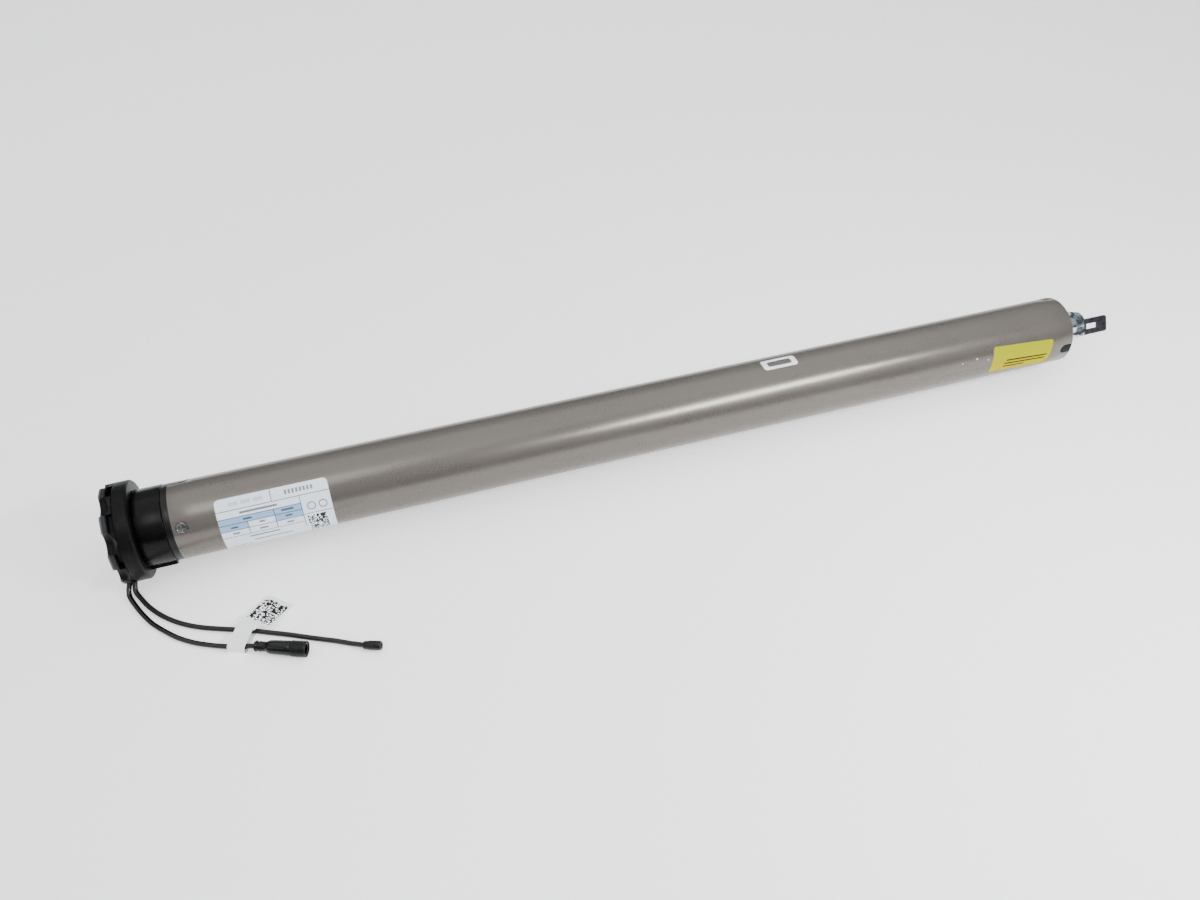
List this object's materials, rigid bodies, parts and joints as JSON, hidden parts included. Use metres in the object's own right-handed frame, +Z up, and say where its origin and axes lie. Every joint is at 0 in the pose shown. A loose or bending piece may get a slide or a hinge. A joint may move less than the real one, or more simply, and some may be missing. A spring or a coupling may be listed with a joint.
{
  "type": "tubular roller blind motor",
  "caption": "Long metal tube motor for a roller blind, with a star shaped head, a turning crown, a keyed drive end and two short leads.",
  "frame": {"origin": "on the surface the motor lies on, under the middle of its length from the star plate's face to the end of the flat clip, under the axis", "axes": "+X along the motor's axis from the head to the drive end, +Z up, the leads lie on the -Y side"},
  "size_m": [0.6773, 0.1361, 0.0586],
  "materials": {
    "bronze_anodised": "satin metallic lacquer, champagne grey",
    "matte_black": "moulded black plastic, slightly worn edges",
    "zinc_steel": "bright zinc plate with a bluish tint",
    "gloss_black": "smooth shiny black plastic",
    "black_rubber": "plain",
    "white_label": "white printed film",
    "yellow_label": "yellow film",
    "dark_steel": "dark phosphated steel",
    "cable_jacket": "plain",
    "acetal_white": "plain",
    "ferrite": "plain",
    "circuit_board": "plain",
    "light_alloy": "plain",
    "blue_sleeve": "plain",
    "foam": "plain",
    "copper": "plain",
    "bronze": "plain"
  },
  "bodies": {
    "housing": {"motor_tube": "bronze_anodised", "head_flange": "matte_black", "star_plate": "matte_black", "star_plate_screws": "zinc_steel", "tube_plug": "matte_black", "plug_screws": "zinc_steel", "cable_grommet": "black_rubber", "rating_label": "white_label", "yellow_label": "yellow_label", "small_label": "white_label", "end_cap": "matte_black", "power_lead": "cable_jacket", "aerial_lead": "cable_jacket", "lead_socket": "black_rubber", "socket_ring": "matte_black", "aerial_cap": "black_rubber", "lead_tag": "white_label", "encoder_board": "circuit_board", "board_tray": "matte_black", "control_board": "circuit_board", "capacitors": "light_alloy", "radio_module": "light_alloy", "battery_cells": "light_alloy", "battery_sleeve": "blue_sleeve", "foam_pads": "foam", "motor_can": "zinc_steel", "motor_bell": "matte_black", "motor_magnets": "ferrite", "motor_brushes": "ferrite", "motor_screws": "zinc_steel", "brake_housing": "light_alloy", "brake_coil": "copper", "ring_gear": "zinc_steel", "bearing_housing": "light_alloy", "output_bushes": "bronze"},
    "crown": {"crown": "gloss_black"},
    "encoder": {"encoder_pinion": "acetal_white", "encoder_magnet": "ferrite"},
    "rotor": {"rotor_core": "dark_steel", "rotor_windings": "copper", "rotor_shaft": "zinc_steel", "commutator": "copper", "brake_disc": "ferrite", "sun_gear": "bronze"},
    "brake_plate": {"brake_armature": "dark_steel"},
    "carrier_1": {"carrier_1": "zinc_steel"},
    "carrier_2": {"carrier_2": "zinc_steel"},
    "output": {"output_carrier": "zinc_steel", "output_shaft": "zinc_steel", "drive_dog": "zinc_steel", "drive_clip": "dark_steel"},
    "planet_1a": {"planet_1a": "zinc_steel"},
    "planet_1b": {"planet_1b": "zinc_steel"},
    "planet_1c": {"planet_1c": "zinc_steel"},
    "planet_2a": {"planet_2a": "zinc_steel"},
    "planet_2b": {"planet_2b": "zinc_steel"},
    "planet_2c": {"planet_2c": "zinc_steel"},
    "planet_3a": {"planet_3a": "zinc_steel"},
    "planet_3b": {"planet_3b": "zinc_steel"},
    "planet_3c": {"planet_3c": "zinc_steel"}
  },
  "joints": [
    {"name": "output_spin", "type": "hinge", "parent": "housing", "child": "output", "pos_m": [0.21675, 0, 0.0293], "axis": [1, 0, 0], "continuous": true},
    {"name": "crown_spin", "type": "hinge", "parent": "housing", "child": "crown", "pos_m": [-0.31425, 0, 0.0293], "axis": [1, 0, 0], "continuous": true},
    {"name": "encoder_spin", "type": "hinge", "parent": "housing", "child": "encoder", "pos_m": [-0.31025, 0, 0.0429], "axis": [1, 0, 0], "continuous": true},
    {"name": "brake_release", "type": "slide", "parent": "housing", "child": "brake_plate", "axis": [-1, 0, 0], "range_m": [0, 0.0003]},
    {"name": "carrier_2_spin", "type": "hinge", "parent": "housing", "child": "carrier_2", "pos_m": [0.19675, 0, 0.0293], "axis": [1, 0, 0], "continuous": true},
    {"name": "carrier_1_spin", "type": "hinge", "parent": "housing", "child": "carrier_1", "pos_m": [0.18675, 0, 0.0293], "axis": [1, 0, 0], "continuous": true},
    {"name": "rotor_spin", "type": "hinge", "parent": "housing", "child": "rotor", "pos_m": [0.11675, 0, 0.0293], "axis": [1, 0, 0], "continuous": true},
    {"name": "planet_1a_spin", "type": "hinge", "parent": "carrier_1", "child": "planet_1a", "pos_m": [0.18175, 0, 0.0401], "axis": [1, 0, 0], "continuous": true},
    {"name": "planet_1b_spin", "type": "hinge", "parent": "carrier_1", "child": "planet_1b", "pos_m": [0.18175, 0.00935, 0.0239], "axis": [1, 0, 0], "continuous": true},
    {"name": "planet_1c_spin", "type": "hinge", "parent": "carrier_1", "child": "planet_1c", "pos_m": [0.18175, -0.00935, 0.0239], "axis": [1, 0, 0], "continuous": true},
    {"name": "planet_2a_spin", "type": "hinge", "parent": "carrier_2", "child": "planet_2a", "pos_m": [0.19175, 0, 0.0401], "axis": [1, 0, 0], "continuous": true},
    {"name": "planet_2b_spin", "type": "hinge", "parent": "carrier_2", "child": "planet_2b", "pos_m": [0.19175, 0.00935, 0.0239], "axis": [1, 0, 0], "continuous": true},
    {"name": "planet_2c_spin", "type": "hinge", "parent": "carrier_2", "child": "planet_2c", "pos_m": [0.19175, -0.00935, 0.0239], "axis": [1, 0, 0], "continuous": true},
    {"name": "planet_3a_spin", "type": "hinge", "parent": "output", "child": "planet_3a", "pos_m": [0.21175, 0, 0.0401], "axis": [1, 0, 0], "continuous": true},
    {"name": "planet_3b_spin", "type": "hinge", "parent": "output", "child": "planet_3b", "pos_m": [0.21175, 0.00935, 0.0239], "axis": [1, 0, 0], "continuous": true},
    {"name": "planet_3c_spin", "type": "hinge", "parent": "output", "child": "planet_3c", "pos_m": [0.21175, -0.00935, 0.0239], "axis": [1, 0, 0], "continuous": true}
  ],
  "couplings": [
    {"joint": "encoder_spin", "follows": "crown_spin", "ratio": 3.8333},
    {"joint": "carrier_2_spin", "follows": "output_spin", "ratio": 4.5},
    {"joint": "carrier_1_spin", "follows": "output_spin", "ratio": 20.25},
    {"joint": "rotor_spin", "follows": "output_spin", "ratio": 91.125},
    {"joint": "planet_1a_spin", "follows": "output_spin", "ratio": -56.7},
    {"joint": "planet_1b_spin", "follows": "output_spin", "ratio": -56.7},
    {"joint": "planet_1c_spin", "follows": "output_spin", "ratio": -56.7},
    {"joint": "planet_2a_spin", "follows": "output_spin", "ratio": -12.6},
    {"joint": "planet_2b_spin", "follows": "output_spin", "ratio": -12.6},
    {"joint": "planet_2c_spin", "follows": "output_spin", "ratio": -12.6},
    {"joint": "planet_3a_spin", "follows": "output_spin", "ratio": -2.8},
    {"joint": "planet_3b_spin", "follows": "output_spin", "ratio": -2.8},
    {"joint": "planet_3c_spin", "follows": "output_spin", "ratio": -2.8}
  ]
}
